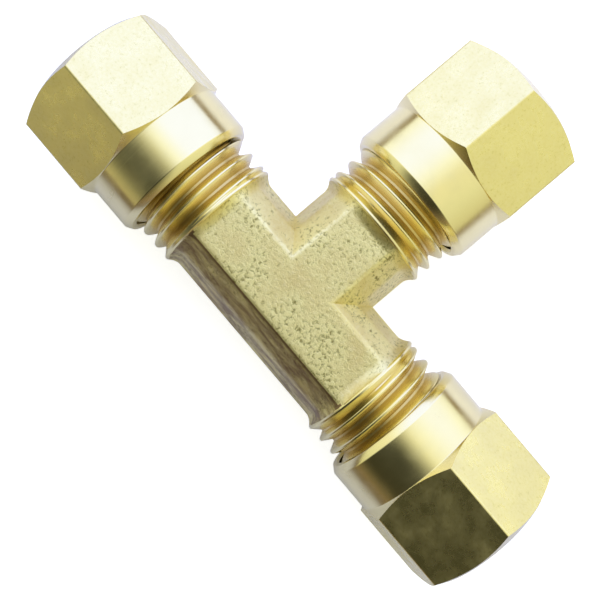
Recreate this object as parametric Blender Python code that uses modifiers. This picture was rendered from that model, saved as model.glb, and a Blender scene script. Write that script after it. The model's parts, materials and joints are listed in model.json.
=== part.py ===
# Brass compression tee for 6 mm tube: a forged body with three threaded ports, each closed by a hexagon
# nut over a loose ferrule. The run lies along X and the branch points to +Y. The tee lies flat, with its
# lowest nut corner at Z = 0 and the middle of its box on the Z axis. Sizes are in millimetres until mm()
# turns them into metres. "Out" is the distance from the middle of the tee along a port's axis.
import math

import bmesh
import bpy
from mathutils import Matrix, Vector

OBJECT_NAME = "compression_tee"

# The tube that the fitting joins, and the passage inside.
TUBE_D = 6.0
SOCKET_D = TUBE_D + 0.1
NUT_HOLE_D = TUBE_D + 0.2
BORE_D = 4.0

# The port's thread, M12 x 1.5, and its running clearance.
THREAD_D = 12.0
PITCH = 1.5
THREAD_DEPTH = 0.6134 * PITCH
CREST_FLAT = PITCH / 8
FLANK_SLOPE = math.tan(math.radians(30))
THREAD_GAP = 0.12
TIP_CHAMFER = 1.0
NUT_MINOR_R = 5.25

# Distances out along each port's axis. A cone rises from the forging to the shoulder before the thread.
FORGING_END = 9.5
SHOULDER_START, SHOULDER_START_R = 8.8, 5.0
SHOULDER_OUT = 9.8
SHOULDER_EDGE_R, SHOULDER_EDGE_L = 0.1, 0.15
THREAD_START = 10.25
RUN_OUT = 1.1
TUBE_STOP = 12.0
BODY_END = 19.0

# The port's mouth takes the ferrule's nose on a 24 degree cone.
MOUTH_D = 8.1
CONE_SLOPE = math.tan(math.radians(12))

# The forged section: half widths and half heights of its flat, its corner and its parting line.
FLAT_HALF_W, FLAT_HALF_H = 2.6, 5.2
CORNER_HALF_W, CORNER_HALF_H = 4.3, 3.5
PARTING_HALF_W = 5.35
EDGE_ROUND = 0.25

# The nut, turned from hexagon bar: a round collar towards the body and a hexagon outside.
HEX_AF = 14.0
HEX_R = HEX_AF / math.sqrt(3)
NUT_INNER_END = 13.95
COLLAR_LENGTH = 4.55
HEX_LENGTH = 9.0
NUT_LENGTH = COLLAR_LENGTH + HEX_LENGTH
COLLAR_R = 6.95
COLLAR_CHAMFER_R, COLLAR_CHAMFER_L = 0.5, 0.9
HEX_OUTER_R, HEX_INNER_R = 6.6, 6.7
HEX_CHAMFER_SLOPE = math.tan(math.radians(30))
NUT_THREAD_LENGTH = 8.1
NUT_CONE_START = 8.65
NUT_LEAD_IN = 0.4

# The ferrule: a 24 degree nose and a 45 degree heel that the nut pushes on.
FERRULE_FRONT = 17.5
FERRULE_NOSE_R, FERRULE_NOSE_L = 3.25, 3.4
FERRULE_R = 4.8
FERRULE_HEEL_R = 3.4
HEEL_GAP = 0.21

# How finely round shapes are faceted, and how far a cutter runs past what it cuts.
THREAD_STEPS = 20
ROUND_STEPS = 32
OVER = 0.5

# Each port: the way out, the turn of its nut about that way (one corner is up at 0), and how far out
# the thread's crest lies along the top of the port.
PORTS = {
    "left": (Vector((-1, 0, 0)), math.radians(-11.8), 10.30),
    "right": (Vector((1, 0, 0)), math.radians(-8.8), 9.58),
    "branch": (Vector((0, 1, 0)), math.radians(-0.9), 9.62),
}


def mm(value):
    return value * 0.001


def lowest_corner():
    """How far the lowest nut corner lies under the axes."""
    return HEX_R * max(math.cos(turn) for _, turn, _ in PORTS.values())


def widest_corner():
    """How far the run nuts reach sideways from the run's axis."""
    sides = [
        HEX_R * abs(math.sin(PORTS[name][1] + math.radians(60 * k)))
        for name in ("left", "right")
        for k in range(6)
    ]
    return max(sides)


TEE_CENTRE = Vector((0, -(NUT_INNER_END + NUT_LENGTH - widest_corner()) / 2, lowest_corner()))


def clear_scene():
    for obj in list(bpy.data.objects):
        bpy.data.objects.remove(obj, do_unlink=True)


def new_collection(name):
    collection = bpy.data.collections.new(name)
    bpy.context.scene.collection.children.link(collection)
    return collection


def brass(name, colour, roughness):
    material = bpy.data.materials.new(name)
    material.use_nodes = True
    shader = material.node_tree.nodes["Principled BSDF"]
    shader.inputs["Base Color"].default_value = (*colour, 1)
    shader.inputs["Metallic"].default_value = 1
    shader.inputs["Roughness"].default_value = roughness
    return material


def add_object(name, bm, collection):
    bmesh.ops.recalc_face_normals(bm, faces=bm.faces)
    mesh = bpy.data.meshes.new(name)
    bm.to_mesh(mesh)
    bm.free()
    obj = bpy.data.objects.new(name, mesh)
    collection.objects.link(obj)
    return obj


def as_cutter(obj):
    obj.hide_render = True
    obj.display_type = "WIRE"
    return obj


def turned(name, profile, collection, steps=ROUND_STEPS, closed=False):
    """A turned solid. Its profile of (radius, height) runs down its outer side.

    The profile starts a third of a facet round, so that no two turned shapes meet edge on edge.
    """
    bm = bmesh.new()
    start = math.tau / steps / 3
    points = [
        bm.verts.new((mm(radius) * math.cos(start), mm(radius) * math.sin(start), mm(height)))
        for radius, height in profile
    ]
    pairs = list(zip(points, points[1:]))
    if closed:
        pairs.append((points[-1], points[0]))
    for pair in pairs:
        bm.edges.new(pair)
    obj = add_object(name, bm, collection)
    screw = obj.modifiers.new("Turn", "SCREW")
    screw.steps = steps
    screw.render_steps = steps
    screw.use_merge_vertices = True
    screw.merge_threshold = 1e-6
    screw.use_smooth_shade = False
    return obj


def helix(name, section, first_height, last_height, collection, run_out=0):
    """A right-hand helical solid about Z from a closed section of (radius, height) points.

    Over the first run_out of its height the solid swings outwards, so that a groove it cuts fades in.
    """
    bm = bmesh.new()
    corners = [bm.verts.new((mm(radius), 0, mm(first_height + height))) for radius, height in section]
    face = bm.faces.new(corners)
    turns = (last_height - first_height) / PITCH
    steps = round(turns * THREAD_STEPS)
    bmesh.ops.spin(
        bm,
        geom=[face],
        axis=(0, 0, 1),
        dvec=(0, 0, mm(PITCH / THREAD_STEPS)),
        angle=math.tau * steps / THREAD_STEPS,
        steps=steps,
        use_duplicate=False,
    )
    if run_out:
        for vert in bm.verts:
            fade = 1 - (vert.co.z - mm(first_height)) / mm(run_out)
            if fade > 0:
                vert.co.xy *= 1 + fade * mm(THREAD_DEPTH) / vert.co.xy.length
    return as_cutter(add_object(name, bm, collection))


def boolean(obj, operation, other):
    modifier = obj.modifiers.new(other.name, "BOOLEAN")
    modifier.operation = operation
    modifier.object = other
    modifier.solver = "EXACT"


def port_turn(way):
    """The turn that points Z out of the port and X up."""
    up = Vector((0, 0, 1))
    return Matrix((up, way.cross(up), way)).transposed().to_4x4()


def port_empty(name, way, collection):
    """An empty at the middle of the tee, on the port's axis."""
    empty = bpy.data.objects.new(name + "_axis", None)
    empty.matrix_world = Matrix.Translation(mm(1) * TEE_CENTRE) @ port_turn(way)
    collection.objects.link(empty)
    return empty


def set_in_body(obj, way, collection):
    """The finished shape of obj, turned into its port's place in the body."""
    bpy.context.view_layer.update()
    evaluated = obj.evaluated_get(bpy.context.evaluated_depsgraph_get())
    mesh = bpy.data.meshes.new_from_object(evaluated)
    mesh.transform(port_turn(way))
    name = obj.name
    bpy.data.objects.remove(obj)
    piece = bpy.data.objects.new(name, mesh)
    piece.location = mm(1) * TEE_CENTRE
    collection.objects.link(piece)
    return piece


def place(obj, empty, out=0, turn=0):
    obj.parent = empty
    obj.location = (0, 0, mm(out))
    obj.rotation_euler = (0, 0, turn)


def groove_section():
    """The thread groove, from its root to just outside the crests."""
    over = 0.15
    root_r = THREAD_D / 2 - THREAD_DEPTH
    outer_half = (PITCH - CREST_FLAT) / 2 + over * FLANK_SLOPE
    root_half = outer_half - (THREAD_DEPTH + over) * FLANK_SLOPE
    outer_r = THREAD_D / 2 + over
    return [(root_r, -root_half), (outer_r, -outer_half), (outer_r, outer_half), (root_r, root_half)]


def nut_thread_section():
    """The space that the port's thread needs in the nut, with clearance all round."""
    crest_half = CREST_FLAT / 2 + THREAD_GAP / 2
    outer_r = THREAD_D / 2 + THREAD_GAP
    overlap = 0.08
    inner_r = NUT_MINOR_R - overlap
    inner_half = crest_half + (outer_r - inner_r) * FLANK_SLOPE
    return [(inner_r, -inner_half), (outer_r, -crest_half), (outer_r, crest_half), (inner_r, inner_half)]


def forged_arm(name, length, middle, port, collection):
    """A bar of the forged section along a port's axis, with its edges slightly rounded."""
    quarter = [
        (FLAT_HALF_W, FLAT_HALF_H),
        (CORNER_HALF_W, CORNER_HALF_H),
        (PARTING_HALF_W, 0),
        (CORNER_HALF_W, -CORNER_HALF_H),
        (FLAT_HALF_W, -FLAT_HALF_H),
    ]
    outline = quarter + [(-width, -height) for width, height in quarter if height]
    outline.insert(len(quarter) + 2, (-PARTING_HALF_W, 0))
    bm = bmesh.new()
    start = middle - length / 2
    corners = [bm.verts.new((mm(height), mm(width), mm(start))) for width, height in outline]
    face = bm.faces.new(corners)
    grown = bmesh.ops.extrude_face_region(bm, geom=[face])
    new_verts = [item for item in grown["geom"] if isinstance(item, bmesh.types.BMVert)]
    bmesh.ops.translate(bm, verts=new_verts, vec=(0, 0, mm(length)))
    long_edges = [edge for edge in bm.edges if abs(edge.verts[0].co.z - edge.verts[1].co.z) > mm(length / 2)]
    bmesh.ops.bevel(
        bm, geom=long_edges, offset=mm(EDGE_ROUND), affect="EDGES", segments=1, profile=0.5, material=-1
    )
    return set_in_body(add_object(name, bm, collection), PORTS[port][0], collection)


def threaded_end(name, crest_out, collection):
    """One port's threaded end: a shoulder, the thread and a chamfered tip."""
    thread_r = THREAD_D / 2
    end = turned(
        name + "_threaded_end",
        [
            (0, BODY_END),
            (thread_r - TIP_CHAMFER, BODY_END),
            (thread_r, BODY_END - TIP_CHAMFER),
            (thread_r, SHOULDER_OUT + SHOULDER_EDGE_L),
            (thread_r - SHOULDER_EDGE_R, SHOULDER_OUT),
            (SHOULDER_START_R, SHOULDER_START),
            (0, SHOULDER_START),
        ],
        collection,
        steps=THREAD_STEPS,
    )
    first = crest_out + PITCH / 2
    while first < THREAD_START:
        first += PITCH
    groove = helix(name + "_groove", groove_section(), first, BODY_END + PITCH, collection, RUN_OUT)
    boolean(end, "DIFFERENCE", groove)
    piece = as_cutter(set_in_body(end, PORTS[name][0], collection))
    bpy.data.objects.remove(groove)
    return piece


def socket_cutter(name, collection):
    """The tube's socket: a cone at the mouth, then a straight socket down to the tube stop."""
    mouth_r, socket_r = MOUTH_D / 2, SOCKET_D / 2
    cone_length = (mouth_r - socket_r) / CONE_SLOPE
    profile = [
        (0, BODY_END + OVER),
        (mouth_r + OVER * CONE_SLOPE, BODY_END + OVER),
        (socket_r, BODY_END - cone_length),
        (socket_r, TUBE_STOP),
        (0, TUBE_STOP),
    ]
    socket = turned(name + "_socket", profile, collection, steps=THREAD_STEPS)
    return as_cutter(set_in_body(socket, PORTS[name][0], collection))


def bore_cutter(name, start, end, port, collection):
    """The passage between the sockets, along a port's axis from start to end."""
    bm = bmesh.new()
    bmesh.ops.create_cone(
        bm,
        cap_ends=True,
        segments=THREAD_STEPS,
        radius1=mm(BORE_D / 2),
        radius2=mm(BORE_D / 2),
        depth=mm(end - start),
        matrix=Matrix.Translation((0, 0, mm((start + end) / 2))),
    )
    return as_cutter(set_in_body(add_object(name, bm, collection), PORTS[port][0], collection))


def tee_body(parts, cutters, material):
    body = forged_arm("tee_body", 2 * FORGING_END, 0, "right", parts)
    branch = as_cutter(forged_arm("branch_arm", FORGING_END, FORGING_END / 2, "branch", cutters))
    boolean(body, "UNION", branch)
    for name, (_, _, crest_out) in PORTS.items():
        boolean(body, "UNION", threaded_end(name, crest_out, cutters))
    reach = TUBE_STOP + OVER
    boolean(body, "DIFFERENCE", bore_cutter("run_bore", -reach, reach, "right", cutters))
    boolean(body, "DIFFERENCE", bore_cutter("branch_bore", 0, reach, "branch", cutters))
    for name in PORTS:
        boolean(body, "DIFFERENCE", socket_cutter(name, cutters))
    body.data.materials.append(material)


def nut(name, empty, turn, crest_out, parts, cutters, material):
    """One nut, made in its own frame with Z = 0 at the collar's end, and turned on the thread."""
    bm = bmesh.new()
    bmesh.ops.create_cone(
        bm,
        cap_ends=True,
        segments=6,
        radius1=mm(HEX_R),
        radius2=mm(HEX_R),
        depth=mm(NUT_LENGTH + 4 * OVER),
        matrix=Matrix.Translation((0, 0, mm(NUT_LENGTH / 2))),
    )
    corner = bm.verts[:][0].co
    corner_up = Matrix.Rotation(-math.atan2(corner.y, corner.x), 3, "Z")
    bmesh.ops.rotate(bm, verts=bm.verts, matrix=corner_up)
    obj = add_object("nut_" + name, bm, parts)
    place(obj, empty, NUT_INNER_END, turn)

    over_r = HEX_R + 0.2
    envelope = as_cutter(turned(
        name + "_nut_turning",
        [
            (0, NUT_LENGTH),
            (HEX_OUTER_R, NUT_LENGTH),
            (over_r, NUT_LENGTH - (over_r - HEX_OUTER_R) * HEX_CHAMFER_SLOPE),
            (over_r, COLLAR_LENGTH + (over_r - HEX_INNER_R) * HEX_CHAMFER_SLOPE),
            (COLLAR_R, COLLAR_LENGTH + (COLLAR_R - HEX_INNER_R) * HEX_CHAMFER_SLOPE),
            (COLLAR_R, COLLAR_CHAMFER_L),
            (COLLAR_R - COLLAR_CHAMFER_R, 0),
            (0, 0),
        ],
        cutters,
    ))
    hole_r = NUT_HOLE_D / 2
    mouth_lead_in = THREAD_D / 2 + THREAD_GAP - NUT_MINOR_R
    bore = as_cutter(turned(
        name + "_nut_bore",
        [
            (0, NUT_LENGTH + OVER),
            (hole_r + NUT_LEAD_IN + OVER, NUT_LENGTH + OVER),
            (hole_r, NUT_LENGTH - NUT_LEAD_IN),
            (hole_r, NUT_CONE_START + NUT_MINOR_R - hole_r),
            (NUT_MINOR_R, NUT_CONE_START),
            (NUT_MINOR_R, mouth_lead_in),
            (NUT_MINOR_R + mouth_lead_in + OVER, -OVER),
            (0, -OVER),
        ],
        cutters,
        steps=THREAD_STEPS,
    ))
    first = crest_out + PITCH * turn / math.tau - NUT_INNER_END
    while first > -PITCH:
        first -= PITCH
    thread = helix(name + "_nut_thread", nut_thread_section(), first, NUT_THREAD_LENGTH, cutters)
    for other in (envelope, bore, thread):
        place(other, empty, NUT_INNER_END, turn)
    boolean(obj, "INTERSECT", envelope)
    boolean(obj, "DIFFERENCE", bore)
    boolean(obj, "DIFFERENCE", thread)
    obj.data.materials.append(material)


def ferrule(name, empty, parts, material):
    """One ferrule, with Z = 0 at its nose."""
    bore_r = SOCKET_D / 2
    heel_end = NUT_INNER_END + NUT_CONE_START + NUT_MINOR_R - FERRULE_HEEL_R - HEEL_GAP - FERRULE_FRONT
    body_r = FERRULE_NOSE_R + FERRULE_NOSE_L * CONE_SLOPE
    obj = turned(
        "ferrule_" + name,
        [
            (FERRULE_HEEL_R, heel_end),
            (FERRULE_R, heel_end - FERRULE_R + FERRULE_HEEL_R),
            (FERRULE_R, FERRULE_NOSE_L + FERRULE_R - body_r),
            (body_r, FERRULE_NOSE_L),
            (FERRULE_NOSE_R, 0),
            (bore_r, 0),
            (bore_r, heel_end),
        ],
        parts,
        closed=True,
    )
    place(obj, empty, FERRULE_FRONT)
    obj.data.materials.append(material)


def build():
    clear_scene()
    parts = new_collection(OBJECT_NAME)
    cutters = new_collection("cutters")
    forged = brass("forged_brass", (0.66, 0.56, 0.27), 0.5)
    machined = brass("machined_brass", (0.78, 0.66, 0.33), 0.22)
    turned_bright = brass("ferrule_brass", (0.8, 0.66, 0.34), 0.18)
    axes = {name: port_empty(name, way, parts) for name, (way, _, _) in PORTS.items()}
    tee_body(parts, cutters, forged)
    for name, (_, turn, crest_out) in PORTS.items():
        nut(name, axes[name], turn, crest_out, parts, cutters, machined)
        ferrule(name, axes[name], parts, turned_bright)


build()
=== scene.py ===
# Brass compression tee, as it is sold: an as-forged body with turned and threaded ports, three hexagon nuts
# finger tight on it, and a ferrule inside each nut. Pieces are shaped in millimetres about the middle of the
# tee and put in place at the end.
import json
import math

import bmesh
import bpy
from mathutils import Euler, Matrix, Vector


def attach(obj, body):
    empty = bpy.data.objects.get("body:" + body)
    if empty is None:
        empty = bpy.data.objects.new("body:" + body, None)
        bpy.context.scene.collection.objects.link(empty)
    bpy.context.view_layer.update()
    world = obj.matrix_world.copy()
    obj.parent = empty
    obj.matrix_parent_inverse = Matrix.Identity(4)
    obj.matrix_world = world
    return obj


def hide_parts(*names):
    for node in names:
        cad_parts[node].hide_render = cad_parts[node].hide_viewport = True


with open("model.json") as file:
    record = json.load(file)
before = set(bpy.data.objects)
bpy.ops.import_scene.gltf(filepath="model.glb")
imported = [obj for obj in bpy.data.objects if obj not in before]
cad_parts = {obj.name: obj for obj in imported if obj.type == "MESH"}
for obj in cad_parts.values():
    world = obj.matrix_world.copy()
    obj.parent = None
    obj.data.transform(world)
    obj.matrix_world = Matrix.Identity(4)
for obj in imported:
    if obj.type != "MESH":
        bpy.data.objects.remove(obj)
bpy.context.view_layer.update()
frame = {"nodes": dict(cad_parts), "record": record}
record = frame["record"]
print("frame loaded:", ", ".join(sorted(frame["nodes"])))


millimetre = 0.001
# how far out from the tee's middle each nut begins
nutInnerEnd = 13.95
portNames = ("left", "right", "branch")
joints = {joint["name"]: joint for joint in record["behaviour"]["joints"]}
mounts = {mount["name"]: mount for mount in record["mounts"]}
up = Vector((0, 0, 1))


def portWay(port):
    return Vector(joints["nut_" + port + "_turn"]["axis"])


def portTurn(port):
    # turns a piece made along Z into the port's direction, with the piece's X pointing up
    way = portWay(port)
    return Matrix((up, way.cross(up), way)).transposed().to_4x4()


teeCentre = Vector(joints["nut_left_turn"]["pos_m"]) - portWay("left") * nutInnerEnd * millimetre
toFrame = Matrix.Translation(teeCentre) @ Matrix.Scale(millimetre, 4)
print("tee centre at", [round(value / millimetre, 3) for value in teeCentre], "mm")


def spunSolid(profile, steps, closed=False):
    # a turned solid from (radius, height) points
    bm = bmesh.new()
    points = [bm.verts.new((radius, 0, height)) for radius, height in profile]
    pairs = list(zip(points, points[1:]))
    if closed:
        pairs.append((points[-1], points[0]))
    for pair in pairs:
        bm.edges.new(pair)
    bmesh.ops.spin(
        bm, geom=bm.verts[:] + bm.edges[:], axis=(0, 0, 1), angle=math.tau, steps=steps, use_merge=True
    )
    bmesh.ops.remove_doubles(bm, verts=bm.verts, dist=0.0001)
    bmesh.ops.recalc_face_normals(bm, faces=bm.faces)
    return bm


def eased(profile, size, keepEnds=True):
    # the same outline with each corner broken by a small round, which takes at most 0.4 of a short edge
    points = [Vector(point) for point in profile]
    count = len(points)
    result = []
    for index, point in enumerate(points):
        if keepEnds and index in (0, count - 1):
            result.append(tuple(point))
            continue
        before, after = points[index - 1], points[(index + 1) % count]
        back = min(size, (before - point).length * 0.4)
        ahead = min(size, (after - point).length * 0.4)
        start = point + (before - point).normalized() * back
        end = point + (after - point).normalized() * ahead
        middle = (start + end + 2 * point) / 4
        result += [tuple(start), tuple(middle), tuple(end)]
    return result


def stepsBetween(points, height):
    # the radius at a height on a line of (height, radius) points
    if height <= points[0][0]:
        return points[0][1]
    for (low, lowRadius), (high, highRadius) in zip(points, points[1:]):
        if height <= high:
            return lowRadius + (highRadius - lowRadius) * (height - low) / (high - low)
    return points[-1][1]


# M12 x 1.5, right hand. The rows are the heights through one pitch where the surface has an edge, close
# together over the crest and over the bends at the root
thread = dict(
    pitch=1.5, radius=6.0, rootRadius=5.08, crestHalf=0.094, flank=math.tan(math.radians(30)), steps=96,
    rows=(-0.75, -0.65, -0.6, -0.47, -0.35, -0.23, -0.12, -0.06, 0.06, 0.12, 0.23, 0.35, 0.47, 0.6, 0.65),
)


def threadedSolid(crest, low, high, grow, inner, outer):
    # a solid with the thread's helical surface between two heights. It is never thinner than the line
    # inner, nor thicker than the line outer, and grow widens it all over as the nut's clearance.
    pitch = thread["pitch"]
    bm = bmesh.new()
    # the helix starts two turns early, so that it covers the whole length once it is trimmed
    first = crest + pitch * math.floor((low - crest) / pitch - 2)
    last = None
    while last is None or last.co.z < high + pitch:
        for offset in thread["rows"]:
            drop = max(0, abs(offset) - thread["crestHalf"] - grow / 2) / thread["flank"]
            radius = max(thread["rootRadius"], thread["radius"] - drop) + grow
            point = bm.verts.new((radius, 0, first + offset))
            if last:
                bm.edges.new((last, point))
            last = point
        first += pitch
    steps = thread["steps"]
    bmesh.ops.spin(
        bm, geom=bm.verts[:] + bm.edges[:], axis=(0, 0, 1), angle=math.tau, steps=steps,
        dvec=(0, 0, pitch / steps),
    )
    bmesh.ops.remove_doubles(bm, verts=bm.verts, dist=0.0005)
    for height in sorted({point[0] for point in inner + outer if low < point[0] < high}):
        everything = bm.verts[:] + bm.edges[:] + bm.faces[:]
        bmesh.ops.bisect_plane(bm, geom=everything, dist=0.0005, plane_co=(0, 0, height), plane_no=(0, 0, 1))
    for height, side in ((low, -1), (high, 1)):
        everything = bm.verts[:] + bm.edges[:] + bm.faces[:]
        bmesh.ops.bisect_plane(
            bm, geom=everything, dist=0.0005, plane_co=(0, 0, height), plane_no=(0, 0, side),
            clear_outer=True,
        )
    for vert in bm.verts:
        radius = vert.co.xy.length
        wanted = min(max(radius, stepsBetween(inner, vert.co.z)), stepsBetween(outer, vert.co.z))
        vert.co.xy *= wanted / radius
    bmesh.ops.holes_fill(bm, edges=[edge for edge in bm.edges if edge.is_boundary], sides=0)
    bmesh.ops.recalc_face_normals(bm, faces=bm.faces)
    return bm


def asObject(name, bm, turn=None):
    if turn:
        bmesh.ops.transform(bm, matrix=turn, verts=bm.verts)
        bmesh.ops.recalc_face_normals(bm, faces=bm.faces)
    mesh = bpy.data.meshes.new(name)
    bm.to_mesh(mesh)
    bm.free()
    made = bpy.data.objects.new(name, mesh)
    bpy.context.scene.collection.objects.link(made)
    return made


def combined(base, steps):
    # the mesh left after joining and cutting, with the helper objects cleared away
    for operation, tool in steps:
        modifier = base.modifiers.new(tool.name, "BOOLEAN")
        modifier.operation = operation
        modifier.object = tool
        modifier.solver = "MANIFOLD"
    bpy.context.view_layer.update()
    mesh = bpy.data.meshes.new_from_object(base.evaluated_get(bpy.context.evaluated_depsgraph_get()))
    for helper in [base] + [tool for operation, tool in steps]:
        bpy.data.objects.remove(helper)
    return mesh


creaseAngle = math.radians(28)


def finishedPiece(name, mesh, turn, materials, choose, node):
    # puts a mesh in its place. choose says which of the materials a face takes, from its centre and normal
    mesh.transform(turn)
    mesh.materials.clear()
    for material in materials:
        mesh.materials.append(material)
    for polygon in mesh.polygons:
        polygon.material_index = choose(polygon.center, polygon.normal)
    mesh.transform(toFrame)
    mesh.shade_smooth()
    mesh.set_sharp_from_angle(angle=creaseAngle)
    piece = bpy.data.objects.new(name, mesh)
    bpy.context.scene.collection.objects.link(piece)
    weighted = piece.modifiers.new("EvenShading", "WEIGHTED_NORMAL")
    weighted.keep_sharp = True
    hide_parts(node)
    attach(piece, node)
    print(name, "made,", len(mesh.polygons), "faces")


def colour(hexValue):
    # an sRGB hex colour as the linear colour that a socket takes
    parts = [int(hexValue[start:start + 2], 16) / 255 for start in (1, 3, 5)]
    return tuple(p / 12.92 if p <= 0.04045 else ((p + 0.055) / 1.055) ** 2.4 for p in parts) + (1,)


def grey(level):
    return (level, level, level, 1)


def addNode(tree, kind, values=None, links=None, stops=(), **settings):
    # values and links go to the inputs, stops are a colour ramp's own, and the rest are the node's settings
    new = tree.nodes.new(kind)
    for key, value in settings.items():
        setattr(new, key, value)
    for key, value in (values or {}).items():
        new.inputs[key].default_value = value
    for key, socket in (links or {}).items():
        tree.links.new(socket, new.inputs[key])
    if stops:
        elements = new.color_ramp.elements
        while len(elements) < len(stops):
            elements.new(0.5)
        for element, (position, shade) in zip(elements, stops):
            element.position = position
            element.color = shade
    return new


def newMaterial(name, metallic, roughness):
    material = bpy.data.materials.new(name)
    material.use_nodes = True
    shader = material.node_tree.nodes["Principled BSDF"]
    shader.inputs["Metallic"].default_value = metallic
    shader.inputs["Roughness"].default_value = roughness
    return material, material.node_tree, shader


def perMm(size):
    # the Scale that makes a pattern's features this many millimetres wide
    return 1 / (size * millimetre)


# grain, pits, patches and streaks are the widths of those marks in mm, and a streak is streakLength times
# longer than wide. A line of painted shade at each flat's edge fades in between two heights, mm from the
# axis
# the dark brown mixed into the flank that faces away from the branch is painted shade
forgedFinish = dict(
    light="#F9EEAE", middle="#F3E69E", dark="#9A8F50", brown="#D6BC74", shadeBrown="#866A4C",
    grain=0.3, grainDepth=0.05, pits=0.34, pitDepth=0.1, patches=3.2, crowding=0.35, streaks=0.95,
    streakLength=4.0, edgeLine=(4.92, 5.06), edgeCover=0.9, roughness=(0.34, 0.52),
)


def forgedBrass(name, sideShaded):
    # CW617N brass as it leaves the die and the shot blast: a fine sandy skin with small dull pits, which
    # scatter the light, so that each face reads as one soft tone flecked with olive. On the flank away from
    # the branch a brown is mixed in as painted shade, in streaks drawn out along the run
    s = forgedFinish
    material, tree, shader = newMaterial(name, 1, 0.48)
    place = addNode(tree, "ShaderNodeTexCoord").outputs["Object"]
    grain = addNode(
        tree, "ShaderNodeTexNoise", {"Scale": perMm(s["grain"]), "Detail": 4, "Roughness": 0.6},
        {"Vector": place},
    ).outputs["Fac"]
    pits = addNode(
        tree, "ShaderNodeTexNoise",
        {"Scale": perMm(s["pits"]), "Detail": 6, "Roughness": 0.72, "Distortion": 0.6},
        {"Vector": place},
    ).outputs["Fac"]
    patches = addNode(
        tree, "ShaderNodeTexNoise", {"Scale": perMm(s["patches"]), "Detail": 3, "Roughness": 0.55},
        {"Vector": place},
    ).outputs["Fac"]
    # pits crowd together in some places and nearly vanish in others
    crowding = addNode(
        tree, "ShaderNodeMath", {1: s["crowding"], 2: -s["crowding"] / 2}, {0: patches},
        operation="MULTIPLY_ADD",
    ).outputs["Value"]
    thinned = addNode(tree, "ShaderNodeMath", links={0: pits, 1: crowding}, operation="ADD").outputs["Value"]
    flecks = addNode(tree, "ShaderNodeValToRGB", links={"Fac": thinned}, stops=[
        (0.33, colour(s["dark"])), (0.46, colour(s["middle"])), (0.56, colour(s["middle"])),
        (0.68, colour(s["light"])),
    ]).outputs["Color"]
    warm = addNode(
        tree, "ShaderNodeValToRGB", links={"Fac": patches}, stops=[(0.42, grey(0)), (0.72, grey(0.5))]
    ).outputs["Color"]
    tone = addNode(
        tree, "ShaderNodeMix", {"B": colour(s["brown"])}, {"Factor": warm, "A": flecks}, data_type="RGBA"
    ).outputs["Result"]
    if sideShaded:
        drawnOut = addNode(
            tree, "ShaderNodeMapping", {"Scale": (1 / s["streakLength"], 1, 1)}, {"Vector": place}
        ).outputs["Vector"]
        streaks = addNode(
            tree, "ShaderNodeTexNoise",
            {"Scale": perMm(s["streaks"]), "Detail": 5, "Roughness": 0.68, "Distortion": 0.4},
            {"Vector": drawnOut},
        ).outputs["Fac"]
        cover = addNode(tree, "ShaderNodeValToRGB", links={"Fac": streaks}, stops=[
            (0.40, grey(0.16)), (0.50, grey(0.5)), (0.62, grey(0.88)),
        ]).outputs["Color"]
        # painted shade also gathers in a darker line along the edge of each flat
        height = addNode(tree, "ShaderNodeSeparateXYZ", links={"Vector": place}).outputs["Z"]
        fromAxis = addNode(
            tree, "ShaderNodeMath", {1: teeCentre.z}, {0: height}, operation="SUBTRACT"
        ).outputs["Value"]
        tall = addNode(tree, "ShaderNodeMath", links={0: fromAxis}, operation="ABSOLUTE").outputs["Value"]
        low, high = (edge * millimetre for edge in s["edgeLine"])
        line = addNode(
            tree, "ShaderNodeMapRange", {"From Min": low, "From Max": high, "To Max": s["edgeCover"]},
            {"Value": tall},
        ).outputs["Result"]
        both = addNode(
            tree, "ShaderNodeMath", links={0: cover, 1: line}, operation="MAXIMUM"
        ).outputs["Value"]
        tone = addNode(
            tree, "ShaderNodeMix", {"B": colour(s["shadeBrown"])}, {"Factor": both, "A": tone}, data_type="RGBA"
        ).outputs["Result"]
    tree.links.new(tone, shader.inputs["Base Color"])
    rough = addNode(
        tree, "ShaderNodeMapRange",
        {"From Min": 0.3, "From Max": 0.7, "To Min": s["roughness"][1], "To Max": s["roughness"][0]},
        {"Value": pits},
    ).outputs["Result"]
    tree.links.new(rough, shader.inputs["Roughness"])
    coarse = addNode(
        tree, "ShaderNodeBump", {"Strength": 0.5, "Distance": s["pitDepth"] * millimetre}, {"Height": pits}
    ).outputs["Normal"]
    fine = addNode(
        tree, "ShaderNodeBump", {"Strength": 0.35, "Distance": s["grainDepth"] * millimetre},
        {"Height": grain, "Normal": coarse},
    ).outputs["Normal"]
    tree.links.new(fine, shader.inputs["Normal"])
    return material


# marks are the spacing of the lathe's rings and smears the width of the duller places, in mm. Painted shade
# goes from root to bright between the two grooveRadii, and outerFace is how far out the nuts' outer faces
# start
turnedFinish = dict(
    bright="#F3E5A6", middle="#F0E09C", groove="#E6D08A", root="#D8BF76", marks=0.16, markDepth=0.01,
    smears=2.2, roughness=(0.15, 0.28), grooveRoughness=0.36, outerFace=26.9,
    grooveRadii=(thread["rootRadius"], thread["radius"] - 0.05),
)


def axisCoordinates(tree, run):
    # along: the distance along the port's axis. away: the distance from it. Both in metres
    place = addNode(tree, "ShaderNodeTexCoord").outputs["Object"]
    centred = addNode(
        tree, "ShaderNodeVectorMath", {1: tuple(teeCentre)}, {0: place}, operation="SUBTRACT"
    ).outputs["Vector"]
    split = addNode(tree, "ShaderNodeSeparateXYZ", links={"Vector": centred}).outputs
    along, side = (split["X"], split["Y"]) if run else (split["Y"], split["X"])
    flat = addNode(tree, "ShaderNodeCombineXYZ", links={"X": side, "Y": split["Z"]}).outputs["Vector"]
    away = addNode(tree, "ShaderNodeVectorMath", links={0: flat}, operation="LENGTH").outputs["Value"]
    return centred, along, away


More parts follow.
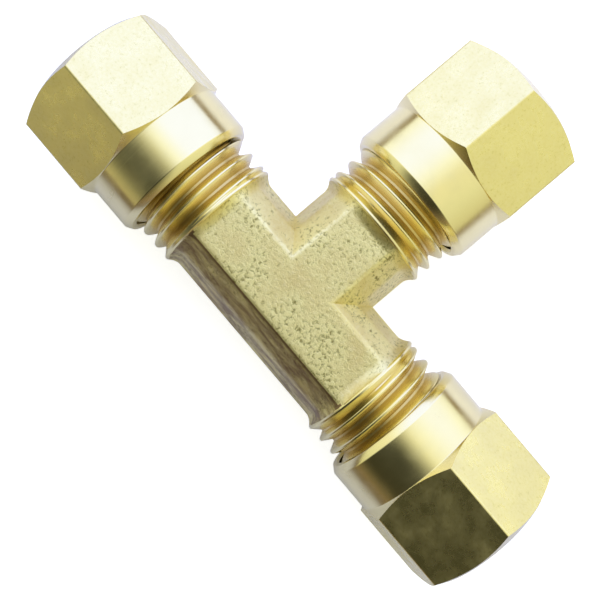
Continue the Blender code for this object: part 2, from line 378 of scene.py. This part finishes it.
def turnedBrass(name, run):
    # free-cutting brass straight off the lathe: bright, with fine rings that the tool left round the axis,
    # and painted shade down in the thread grooves, a browner tone for the light that has bounced between the
    # flanks
    s = turnedFinish
    material, tree, shader = newMaterial(name, 1, 0.24)
    centred, along, away = axisCoordinates(tree, run)
    # rings run round cylinders and cones by their place along the axis, and round flat ends by their radius
    spiral = addNode(tree, "ShaderNodeMath", links={0: along, 1: away}, operation="ADD").outputs["Value"]
    rings = addNode(
        tree, "ShaderNodeTexNoise", {"Scale": perMm(s["marks"]), "Detail": 3, "Roughness": 0.6},
        {"W": spiral}, noise_dimensions="1D",
    ).outputs["Fac"]
    smears = addNode(
        tree, "ShaderNodeTexNoise", {"Scale": perMm(s["smears"]), "Detail": 4, "Roughness": 0.6},
        {"Vector": centred},
    ).outputs["Fac"]
    root, crest = (radius * millimetre for radius in s["grooveRadii"])
    groove = addNode(
        tree, "ShaderNodeMapRange", {"From Min": root, "From Max": crest}, {"Value": away}
    ).outputs["Result"]
    # the nuts' outer faces lie inside the thread's radius too, but are as bright as the rest
    out = addNode(tree, "ShaderNodeMath", links={0: along}, operation="ABSOLUTE").outputs["Value"]
    outerFace = addNode(
        tree, "ShaderNodeMath", {1: s["outerFace"] * millimetre}, {0: out}, operation="GREATER_THAN"
    ).outputs["Value"]
    depth = addNode(
        tree, "ShaderNodeMath", links={0: groove, 1: outerFace}, operation="MAXIMUM"
    ).outputs["Value"]
    # painted shade: browner towards the thread's root, by distance from the axis
    tone = addNode(tree, "ShaderNodeValToRGB", links={"Fac": depth}, stops=[
        (0.0, colour(s["root"])), (0.35, colour(s["groove"])), (0.75, colour(s["middle"])),
        (1.0, colour(s["bright"])),
    ]).outputs["Color"]
    tree.links.new(tone, shader.inputs["Base Color"])
    rough = addNode(
        tree, "ShaderNodeMapRange",
        {"From Min": 0.35, "From Max": 0.7, "To Min": s["roughness"][0], "To Max": s["roughness"][1]},
        {"Value": smears},
    ).outputs["Result"]
    dull = addNode(
        tree, "ShaderNodeMapRange", {"To Min": s["grooveRoughness"], "To Max": s["roughness"][0]},
        {"Value": depth},
    ).outputs["Result"]
    worn = addNode(tree, "ShaderNodeMath", links={0: rough, 1: dull}, operation="MAXIMUM").outputs["Value"]
    tree.links.new(worn, shader.inputs["Roughness"])
    bump = addNode(
        tree, "ShaderNodeBump", {"Strength": 0.25, "Distance": s["markDepth"] * millimetre},
        {"Height": rings},
    ).outputs["Normal"]
    tree.links.new(bump, shader.inputs["Normal"])
    return material


# lines, grain and patches are the widths of those marks in mm. A line is stretch times longer than wide
drawnFinish = dict(
    bright="#F6E8A4", middle="#F2E398", dull="#DED085", lines=0.22, stretch=14.0, grain=0.3, depth=0.03,
    patches=2.4, roughness=(0.22, 0.40),
)


def drawnBrass(name, run):
    # hexagon bar as drawn through the die: satin faces with faint lines along the bar, small dull specks
    # and patches where the skin has tarnished
    s = drawnFinish
    material, tree, shader = newMaterial(name, 1, 0.3)
    centred = axisCoordinates(tree, run)[0]
    depth = s["depth"] * millimetre
    squeeze = (1 / s["stretch"], 1, 1) if run else (1, 1 / s["stretch"], 1)
    longways = addNode(
        tree, "ShaderNodeMapping", {"Scale": squeeze}, {"Vector": centred}
    ).outputs["Vector"]
    lines = addNode(
        tree, "ShaderNodeTexNoise", {"Scale": perMm(s["lines"]), "Detail": 3, "Roughness": 0.6},
        {"Vector": longways},
    ).outputs["Fac"]
    grain = addNode(
        tree, "ShaderNodeTexNoise", {"Scale": perMm(s["grain"]), "Detail": 5, "Roughness": 0.7},
        {"Vector": centred},
    ).outputs["Fac"]
    patches = addNode(
        tree, "ShaderNodeTexNoise", {"Scale": perMm(s["patches"]), "Detail": 5, "Roughness": 0.6},
        {"Vector": centred},
    ).outputs["Fac"]
    tone = addNode(tree, "ShaderNodeValToRGB", links={"Fac": grain}, stops=[
        (0.28, colour(s["dull"])), (0.42, colour(s["middle"])), (0.66, colour(s["bright"])),
    ]).outputs["Color"]
    tree.links.new(tone, shader.inputs["Base Color"])
    rough = addNode(
        tree, "ShaderNodeMapRange",
        {"From Min": 0.35, "From Max": 0.68, "To Min": s["roughness"][0], "To Max": s["roughness"][1]},
        {"Value": patches},
    ).outputs["Result"]
    tree.links.new(rough, shader.inputs["Roughness"])
    coarse = addNode(
        tree, "ShaderNodeBump", {"Strength": 0.2, "Distance": depth}, {"Height": lines}
    ).outputs["Normal"]
    fine = addNode(
        tree, "ShaderNodeBump", {"Strength": 0.2, "Distance": depth}, {"Height": grain, "Normal": coarse}
    ).outputs["Normal"]
    tree.links.new(fine, shader.inputs["Normal"])
    return material


forged = forgedBrass("forgedBrass", False)
# the same forged brass, with painted shade on the flank that faces away from the branch
forgedShadedSide = forgedBrass("forgedBrassShadedSide", True)
turnedRun = turnedBrass("turnedBrassRun", True)
turnedBranch = turnedBrass("turnedBrassBranch", False)
drawnRun = drawnBrass("drawnBrassRun", True)
drawnBranch = drawnBrass("drawnBrassBranch", False)
print("materials made")


def barBrass(port):
    # what the lathe has cut and what it has left, with rings and lines that follow the port's own axis
    return [turnedBranch, drawnBranch] if port == "branch" else [turnedRun, drawnRun]


# how far out one thread crest stands where it passes the top of each port
crestOut = dict(left=10.30, right=9.58, branch=9.62)

# an arm's section, as (half width, height) corners from its flat down to the parting line, and then how far
# out its flats end and where the rings of the short ramp to the round shoulder stand
forging = dict(
    flatHalf=(2.6, 5.2), corner=(4.3, 3.5), sideHalf=5.3, flash=(5.4, 0.12), flashRoot=0.26, edgeRound=0.28,
    faceStep=0.5, flatEnd=8.8, rampEnd=9.82, levels=[8.8, 9.05, 9.3, 9.56, 9.82], rampRadius=5.9,
)


def forgedOutline():
    # the section of an arm: a flat top and bottom, sloping shoulders, and sides drafted to the parting
    # line, where a thin line of trimmed flash is left
    s = forging
    upper = [s["flatHalf"], s["corner"], (s["sideHalf"], s["flashRoot"]), s["flash"]]
    right = upper + [(width, -tall) for width, tall in reversed(upper)]
    corners = [(tall, width) for width, tall in right] + [(-tall, -width) for width, tall in right]
    rounded = [Vector(point) for point in eased(corners, s["edgeRound"], keepEnds=False)]
    points = []
    for point, following in zip(rounded, rounded[1:] + rounded[:1]):
        pieces = 1 + int((following - point).length / s["faceStep"])
        points += [point.lerp(following, index / pieces) for index in range(pieces)]
    return points


def forgedArm(name, levels, port):
    # a bar of the forged section. Past flatEnd its flats run out up a short ramp to the round shoulder
    s = forging
    bm = bmesh.new()
    rings = []
    for height in levels:
        climb = (max(0, abs(height) - s["flatEnd"]) / (s["rampEnd"] - s["flatEnd"])) ** 2
        ring = []
        for point in forgedOutline():
            onShoulder = point * (s["rampRadius"] / point.length)
            ring.append(bm.verts.new((*point.lerp(onShoulder, climb), height)))
        rings.append(ring)
    for low, high in zip(rings, rings[1:]):
        for index in range(len(low)):
            bm.faces.new((low[index - 1], low[index], high[index], high[index - 1]))
    bm.faces.new(rings[0])
    bm.faces.new(rings[-1])
    return asObject(name, bm, portTurn(port))


# distances out from the tee's middle, and radii. The thread's groove deepens from threadStart to threadFull
portEnd = dict(
    start=9.6, startRadius=5.48, shoulder=9.78, shoulderRadius=5.88, edge=9.92, threadStart=10.08,
    threadFull=11.0, end=19.0, tipChamfer=1.0,
)


def threadedEnd(port):
    s = portEnd
    radius = thread["radius"]
    runOut = [(s["threadStart"], radius), (s["threadFull"], thread["rootRadius"])]
    envelope = [
        (s["start"], s["startRadius"]), (s["shoulder"], s["shoulderRadius"]), (s["edge"], radius),
        (s["end"] - s["tipChamfer"], radius), (s["end"], radius - s["tipChamfer"]),
    ]
    bm = threadedSolid(crestOut[port], s["start"], s["end"], 0, runOut, envelope)
    return asObject(port + "ThreadedEnd", bm, portTurn(port))


# radii of the bore, the tube socket and the mouth of the cone, and distances out from the tee's middle. The
# cutters start near the middle, where they cross, and reach past each port's end
passage = dict(
    bore=2.0, socket=3.05, stop=12.0, stopSlope=0.6, mouth=4.05, mouthDepth=4.7, runStart=-0.8,
    branchStart=0.3, past=0.5, steps=96,
)


def passageCutter(port):
    # from the mouth: the 24 degree cone for the ferrule, the tube socket, its stop and the bore
    s = passage
    top = portEnd["end"] + s["past"]
    widen = s["past"] * (s["mouth"] - s["socket"]) / s["mouthDepth"]
    bottom = s["branchStart"] if port == "branch" else s["runStart"]
    profile = [
        (0, top), (s["mouth"] + widen, top), (s["socket"], portEnd["end"] - s["mouthDepth"]),
        (s["socket"], s["stop"]), (s["bore"], s["stop"] - s["stopSlope"]), (s["bore"], bottom), (0, bottom),
    ]
    return asObject(port + "Passage", spunSolid(profile, s["steps"]), portTurn(port))


# where the body's finishes meet, in mm. A face is turned beyond turnedFrom and within boreRadius of an axis,
# but never nearer to the tee's middle than crossing. The flank faces away from the branch, past flankEdge
finishZones = dict(
    turnedFrom=forging["rampEnd"] - 0.06, boreRadius=passage["socket"] + 0.1, crossing=1.5,
    flankEdge=0.2 - forging["flatHalf"][0], flankFacing=-0.3,
)


def bodyFinish(centre, normal):
    # 0 forged, 1 turned about the run, 2 turned about the branch, 3 the flank away from the branch, with
    # painted shade
    s = finishZones
    for port in portNames:
        way = portWay(port)
        out = centre.dot(way)
        away = (centre - way * out).length
        if out > s["crossing"] and (out > s["turnedFrom"] or away < s["boreRadius"]):
            return 2 if port == "branch" else 1
    return 3 if normal.y < s["flankFacing"] and centre.y < s["flankEdge"] else 0


def teeBody():
    armLevels = forging["levels"]
    run = forgedArm("runArm", [-height for height in reversed(armLevels)] + armLevels, "right")
    steps = [("UNION", forgedArm("branchArm", [0] + armLevels, "branch"))]
    steps += [("UNION", threadedEnd(port)) for port in portNames]
    steps += [("DIFFERENCE", passageCutter(port)) for port in portNames]
    mesh = combined(run, steps)
    materials = [forged, turnedRun, turnedBranch, forgedShadedSide]
    finishedPiece("teeBody", mesh, Matrix.Identity(4), materials, bodyFinish, "tee_body")


teeBody()


# lengths are from the nut's inner end, and rimChamfer is (height, length). The cutters reach past the nut's
# ends, the bar is longer by barSpare at each end, and the turning is wider than the corners by turningSpare
nut = dict(
    acrossFlats=14.0, length=13.55, collarLength=4.55, collarRadius=6.95, rimChamfer=(0.4, 0.62),
    hexOuterRadius=6.6, hexInnerRadius=6.7, chamferSlope=math.tan(math.radians(30)), cornerRound=0.16,
    edgeRound=0.07, threadLength=8.1, minorRadius=5.25, clearance=0.12, coneStart=8.65, hole=3.1, leadIn=0.4,
    relief=0.3, past=0.5, barSpare=1, turningSpare=0.2, steps=144,
)


def nutFlatAngle(port):
    # how far round the port's axis one flat of the nut points, from up
    flat = portTurn(port).inverted().to_3x3() @ Vector(mounts["wrench_flat_" + port]["axis"])
    return math.atan2(flat.y, flat.x)


def hexagonBar(port):
    s = nut
    bm = bmesh.new()
    corner = s["acrossFlats"] / math.sqrt(3)
    middle = nutInnerEnd + s["length"] / 2
    bmesh.ops.create_cone(
        bm, cap_ends=True, segments=6, radius1=corner, radius2=corner,
        depth=s["length"] + 2 * s["barSpare"], matrix=Matrix.Translation((0, 0, middle)),
    )
    side = min(bm.faces, key=lambda face: abs(face.normal.z)).normal
    turn = nutFlatAngle(port) - math.atan2(side.y, side.x)
    bmesh.ops.rotate(bm, verts=bm.verts, matrix=Matrix.Rotation(turn, 3, "Z"))
    longEdges = [edge for edge in bm.edges if abs(edge.verts[0].co.z - edge.verts[1].co.z) > 1]
    bmesh.ops.bevel(
        bm, geom=longEdges, offset=s["cornerRound"], affect="EDGES", segments=3, profile=0.5, material=-1
    )
    return asObject(port + "HexagonBar", bm)


def nutTurning(port):
    # what the lathe leaves: the collar with its rim chamfer, and the hexagon's two 30 degree chamfers
    s = nut
    slope = s["chamferSlope"]
    rim, rimLength = s["rimChamfer"]
    wide = s["acrossFlats"] / math.sqrt(3) + s["turningSpare"]
    inner, outer = nutInnerEnd, nutInnerEnd + s["length"]
    hexStart = inner + s["collarLength"]
    profile = [
        (0, outer), (s["hexOuterRadius"], outer), (wide, outer - (wide - s["hexOuterRadius"]) * slope),
        (wide, hexStart + (wide - s["hexInnerRadius"]) * slope),
        (s["collarRadius"], hexStart + (s["collarRadius"] - s["hexInnerRadius"]) * slope),
        (s["collarRadius"], inner + rimLength), (s["collarRadius"] - rim, inner), (0, inner),
    ]
    return asObject(port + "Turning", spunSolid(eased(profile, s["edgeRound"]), s["steps"]))


def nutInside(port):
    # the space inside: thread, relief, the 45 degree face that pushes the ferrule, and the tube hole
    s = nut
    inner, outer, past = nutInnerEnd, nutInnerEnd + s["length"], s["past"]
    minor, hole = s["minorRadius"], s["hole"]
    mouth = thread["radius"] + s["clearance"]
    coneEnd = s["coneStart"] + minor - hole
    least = [
        (inner - past, mouth + past), (inner, mouth), (inner + mouth - minor, minor),
        (inner + s["coneStart"], minor),
    ]
    most = [
        (inner + s["threadLength"], mouth + past), (inner + s["threadLength"] + s["relief"], minor),
        (inner + s["coneStart"], minor), (inner + coneEnd, hole), (outer - s["leadIn"], hole),
        (outer, hole + s["leadIn"]), (outer + past, hole + s["leadIn"] + past),
    ]
    bm = threadedSolid(crestOut[port], inner - past, outer + past, s["clearance"], least, most)
    return asObject(port + "Inside", bm)


def nutFinish(way):
    def choose(centre, normal):
        # 0 turned, 1 drawn: only the flats, which face sideways beyond the collar, keep the bar's skin
        sideways = abs(normal.dot(way)) < 0.05
        beyondCollar = centre.dot(normal) > nut["collarRadius"] + 0.03
        return 1 if sideways and beyondCollar else 0
    return choose


def compressionNut(port):
    mesh = combined(hexagonBar(port), [("INTERSECT", nutTurning(port)), ("DIFFERENCE", nutInside(port))])
    finish = nutFinish(portWay(port))
    finishedPiece(
        port + "CompressionNut", mesh, portTurn(port), barBrass(port), finish, "nut_" + port,
    )


for port in portNames:
    compressionNut(port)


# front is how far out from the tee's middle the nose is, and slope is half of the 24 degree cone
ferrule = dict(
    front=17.5, noseRadius=3.25, noseLength=3.4, slope=math.tan(math.radians(12)), radius=4.8,
    heelRadius=3.4, heelGap=0.21, hole=3.05, edgeRound=0.08, steps=128,
)


def brassFerrule(port):
    s = ferrule
    heel = nutInnerEnd + nut["coneStart"] + nut["minorRadius"] - s["heelRadius"] - s["heelGap"]
    bodyRadius = s["noseRadius"] + s["noseLength"] * s["slope"]
    front = s["front"]
    profile = [
        (s["heelRadius"], heel), (s["radius"], heel - s["radius"] + s["heelRadius"]),
        (s["radius"], front + s["noseLength"] + s["radius"] - bodyRadius),
        (bodyRadius, front + s["noseLength"]), (s["noseRadius"], front), (s["hole"], front),
        (s["hole"], heel),
    ]
    bm = spunSolid(eased(profile, s["edgeRound"], keepEnds=False), s["steps"], closed=True)
    mesh = bpy.data.meshes.new(port + "Ferrule")
    bm.to_mesh(mesh)
    bm.free()
    turned = barBrass(port)[:1]
    finishedPiece(
        port + "Ferrule", mesh, portTurn(port), turned, lambda centre, normal: 0, "ferrule_" + port,
    )


for port in portNames:
    brassFerrule(port)


# distances in metres. The room is a line of (place, linear colour) stops along roomWay, from its warm dim
# side to its cool bright one. Round darkWay it is dimmed, from the first of darkCosines to the second
studio = dict(
    floorSize=1.6, floorPaint=(0.9, 0.9, 0.9), floorGlow=0.68, backdrop="#FBFBFB",
    floorNear=(0.82, 0.83, 1.0), floorFar=(0.26, 0.2, 0.13), nearRadius=0.03, farRadius=0.09,
    glowFrom=0.02, glowTo=0.45, glowWidth=0.02,
    roomWay=(-0.5, 0.7, 0.5), strength=2.5,
    room=(
        (0.12, (0.36, 0.27, 0.17)), (0.26, (0.67, 0.65, 0.43)), (0.50, (0.86, 0.90, 0.74)),
        (0.74, (1.02, 1.04, 0.90)), (0.83, (1.12, 1.22, 1.45)), (0.93, (1.10, 1.27, 2.40)),
    ),
    darkWay=(0.22, -0.67, 0.70), darkCosines=(0.56, 0.96), darkest=0.07,
)


def paleFloor():
    bm = bmesh.new()
    bmesh.ops.create_grid(bm, x_segments=1, y_segments=1, size=studio["floorSize"] / 2)
    floor = asObject("floor", bm)
    material = bpy.data.materials.new("paleFloor")
    material.use_nodes = True
    tree = material.node_tree
    tree.nodes.clear()
    paint = addNode(tree, "ShaderNodeBsdfDiffuse", {"Color": (*studio["floorPaint"], 1)}).outputs["BSDF"]
    glow = addNode(tree, "ShaderNodeEmission", {"Strength": studio["floorGlow"]}).outputs["Emission"]
    seen = addNode(tree, "ShaderNodeAddShader", links={0: paint, 1: glow}).outputs["Shader"]
    # what the brass mirrors: a cool sheet close by, fading out to the dark of the room
    place = addNode(tree, "ShaderNodeTexCoord").outputs["Object"]
    away = addNode(tree, "ShaderNodeVectorMath", links={0: place}, operation="LENGTH").outputs["Value"]
    far = addNode(
        tree, "ShaderNodeMapRange", {"From Min": studio["nearRadius"], "From Max": studio["farRadius"]},
        {"Value": away}, interpolation_type="SMOOTHSTEP",
    ).outputs["Result"]
    sheet = addNode(
        tree, "ShaderNodeValToRGB", links={"Fac": far},
        stops=[(0, (*studio["floorNear"], 1)), (1, (*studio["floorFar"], 1))],
    ).outputs["Color"]
    scatter = addNode(tree, "ShaderNodeBsdfDiffuse", links={"Color": sheet}).outputs["BSDF"]
    # it is brighter on the side of the bright end of the room
    across = addNode(tree, "ShaderNodeSeparateXYZ", links={"Vector": place}).outputs["Y"]
    lit = addNode(
        tree, "ShaderNodeMapRange",
        {
            "From Min": -studio["glowWidth"], "From Max": studio["glowWidth"],
            "To Min": studio["glowFrom"], "To Max": studio["glowTo"],
        },
        {"Value": across},
    ).outputs["Result"]
    lift = addNode(tree, "ShaderNodeEmission", links={"Color": sheet, "Strength": lit}).outputs["Emission"]
    reflected = addNode(tree, "ShaderNodeAddShader", links={0: scatter, 1: lift}).outputs["Shader"]
    direct = addNode(tree, "ShaderNodeLightPath").outputs["Is Camera Ray"]
    both = addNode(tree, "ShaderNodeMixShader", links={0: direct, 1: reflected, 2: seen}).outputs["Shader"]
    addNode(tree, "ShaderNodeOutputMaterial", links={"Surface": both})
    floor.data.materials.append(material)


def softLight(tree, direction, way, cosines, levels, easing):
    # a level that goes from the first to the second as a direction nears way
    towards = Vector(way).normalized()
    near = addNode(
        tree, "ShaderNodeVectorMath", {1: tuple(towards)}, {0: direction}, operation="DOT_PRODUCT"
    ).outputs["Value"]
    return addNode(
        tree, "ShaderNodeMapRange",
        {"From Min": cosines[0], "From Max": cosines[1], "To Min": levels[0], "To Max": levels[1]},
        {"Value": near}, interpolation_type=easing,
    ).outputs["Result"]


def studioWorld():
    # a lit studio: one large soft daylight source beyond the branch, warmer and dimmer towards the other
    # side, with a dark patch where the viewer stands
    s = studio
    world = bpy.data.worlds.new("studio")
    world.use_nodes = True
    tree = world.node_tree
    tree.nodes.clear()
    direction = addNode(tree, "ShaderNodeTexCoord").outputs["Generated"]
    across = softLight(tree, direction, s["roomWay"], (-1, 1), (0, 1), "LINEAR")
    strength = s["strength"]
    stops = [(place, (*(level / strength for level in shade), 1)) for place, shade in s["room"]]
    room = addNode(tree, "ShaderNodeValToRGB", links={"Fac": across}, stops=stops).outputs["Color"]
    levels = (strength, strength * s["darkest"])
    shade = softLight(tree, direction, s["darkWay"], s["darkCosines"], levels, "SMOOTHSTEP")
    lights = addNode(tree, "ShaderNodeBackground", links={"Color": room, "Strength": shade}).outputs[0]
    seen = addNode(tree, "ShaderNodeBackground", {"Color": colour(s["backdrop"])}).outputs[0]
    direct = addNode(tree, "ShaderNodeLightPath").outputs["Is Camera Ray"]
    both = addNode(tree, "ShaderNodeMixShader", links={0: direct, 1: lights, 2: seen}).outputs["Shader"]
    addNode(tree, "ShaderNodeOutputWorld", links={"Surface": both})
    bpy.context.scene.world = world


# almost straight above the tee's middle, with the run lying aslant in view. Offset, lens and sensor are in
# mm, turn is in degrees, and nothing nearer than near, in metres, is drawn
view = dict(offset=(0.429, -0.652, 90.255), turn=(0.487, -0.788, 49.75), lens=59.86, sensor=36, near=0.005)


def placeCamera():
    data = bpy.data.cameras.new("camera")
    data.lens = view["lens"]
    data.sensor_width = view["sensor"]
    data.clip_start = view["near"]
    camera = bpy.data.objects.new("camera", data)
    camera.location = teeCentre + Vector(view["offset"]) * millimetre
    camera.rotation_euler = Euler([math.radians(angle) for angle in view["turn"]])
    bpy.context.scene.collection.objects.link(camera)
    bpy.context.scene.camera = camera


paleFloor()
studioWorld()
placeCamera()
bpy.context.scene.view_settings.view_transform = "Standard"
print("studio ready")
